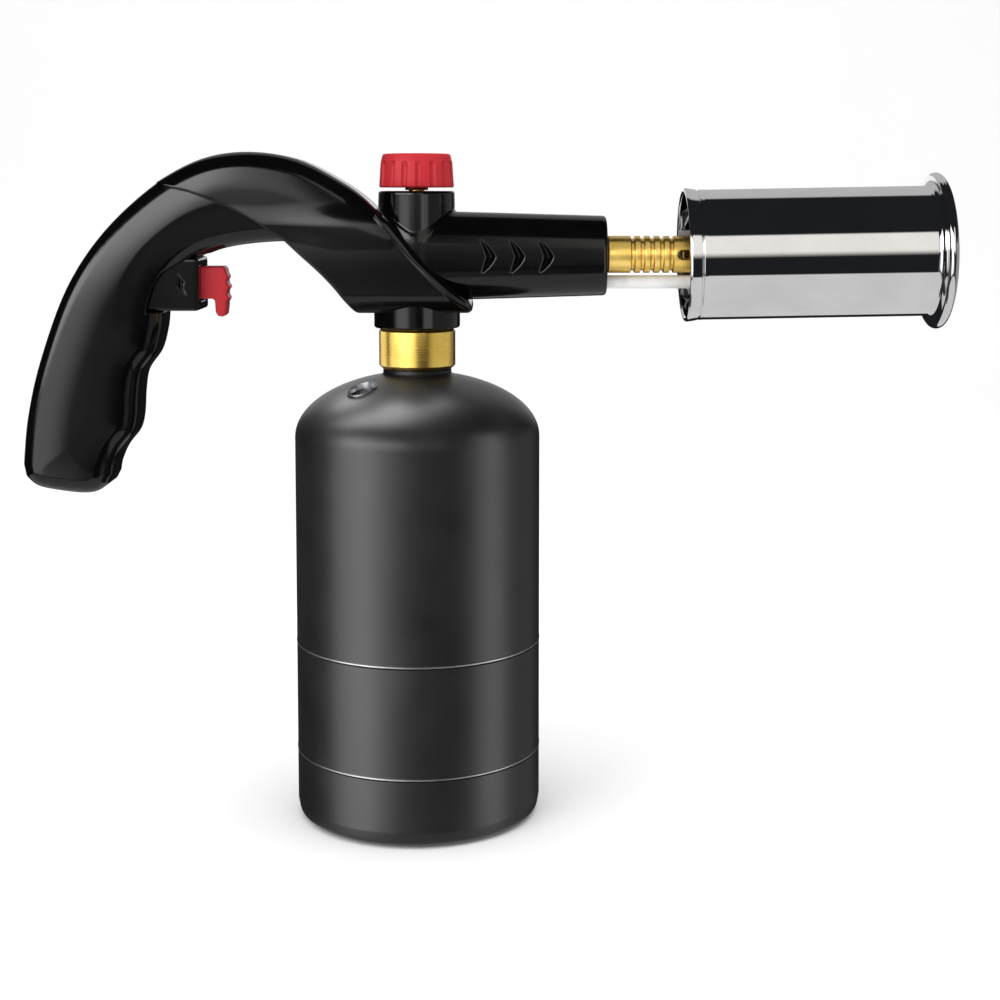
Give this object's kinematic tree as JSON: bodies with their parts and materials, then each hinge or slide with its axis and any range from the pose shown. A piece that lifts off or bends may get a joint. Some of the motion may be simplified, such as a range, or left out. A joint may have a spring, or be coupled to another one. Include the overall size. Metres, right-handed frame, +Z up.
{
  "type": "butane torch",
  "caption": "Hand torch with a curved grip, spark trigger, flame knob and flared burner guard, screwed onto an upright gas cylinder.",
  "frame": {"origin": "centre of the gas cylinder's flat base", "axes": "+Z up along the cylinder axis, +X the way the flame points, +Y to the left of a person aiming it"},
  "size_m": [0.3667, 0.0986, 0.267],
  "materials": {
    "black_paint": "satin powder coat",
    "black_plastic": "polished moulding",
    "red_plastic": "satin moulding",
    "brass": "turned and polished",
    "chrome": "mirror plated",
    "steel": "machined",
    "ceramic": "fired white alumina",
    "rubber": "moulded",
    "insulation": "smooth"
  },
  "bodies": {
    "cylinder": {"tank_shell_upper": "black_paint", "tank_shell_lower": "black_paint", "tank_foot_cup": "black_paint", "tank_neck_boss": "steel", "tank_valve_body": "brass", "tank_valve_seal": "rubber", "tank_valve_spring": "steel", "relief_valve_body": "steel", "relief_retainer": "steel", "relief_spring": "steel"},
    "valve_pin": {"tank_valve_pin": "brass"},
    "relief": {"relief_poppet": "brass"},
    "washer": {"inlet_seal": "rubber"},
    "head": {"collar_nut": "brass", "inlet_depressor": "brass", "neck_skirt": "black_plastic", "barrel_housing": "black_plastic", "arch_cover_front": "black_plastic", "arch_cover_back": "black_plastic", "grip_shell_front": "black_plastic", "grip_shell_back": "black_plastic", "shell_screw_1": "steel", "shell_screw_2": "steel", "shell_screw_3": "steel", "shell_screw_4": "steel", "trigger_guide": "black_plastic", "piezo_igniter": "insulation", "trigger_spring": "steel", "ignition_wire": "insulation", "valve_block": "brass", "gland_nut": "brass", "spindle_o_ring": "rubber", "gas_tube": "steel", "jet_nozzle": "brass", "mixing_tube": "brass", "burner_cup": "steel", "flame_holder": "steel", "guard_spider": "steel", "flame_guard": "chrome", "electrode_tube": "ceramic", "electrode_rod": "steel"},
    "needle": {"valve_needle": "steel"},
    "knob": {"knob": "red_plastic", "knob_screw": "steel", "knob_cap": "red_plastic", "valve_spindle": "brass"},
    "trigger": {"trigger": "red_plastic", "piezo_plunger": "steel"}
  },
  "joints": [
    {"name": "head_lift", "type": "slide", "parent": "cylinder", "child": "washer", "axis": [0, 0, 1], "range_m": [0, 0.0127]},
    {"name": "head_unscrew", "type": "hinge", "parent": "washer", "child": "head", "pos_m": [0, 0, 0.19], "axis": [0, 0, 1], "range_deg": [0, 3600]},
    {"name": "pin_rise", "type": "slide", "parent": "cylinder", "child": "valve_pin", "axis": [0, 0, 1], "range_m": [0, 0.0015], "deforming": ["tank_valve_spring"]},
    {"name": "relief_lift", "type": "slide", "parent": "cylinder", "child": "relief", "axis": [-0.2573, -0.2623, 0.93], "range_m": [0, 0.001], "stiffness_N_per_m": 2000, "springref_m": -0.002, "deforming": ["relief_spring"]},
    {"name": "needle_lift", "type": "slide", "parent": "head", "child": "needle", "axis": [0, 0, 1], "range_m": [0, 0.0015]},
    {"name": "knob_turn", "type": "hinge", "parent": "needle", "child": "knob", "pos_m": [0, 0, 0.26], "axis": [0, 0, 1], "range_deg": [0, 540]},
    {"name": "trigger_pull", "type": "slide", "parent": "head", "child": "trigger", "axis": [-1, 0, 0], "range_m": [0, 0.005], "stiffness_N_per_m": 1500, "springref_m": -0.002, "deforming": ["trigger_spring"]}
  ],
  "couplings": [
    {"joint": "head_lift", "follows": "head_unscrew", "m_per_rad": 0.00020212},
    {"joint": "pin_rise", "follows": "head_unscrew", "m_per_rad": 0.00002387},
    {"joint": "knob_turn", "follows": "needle_lift", "rad_per_m": 6283.1}
  ]
}
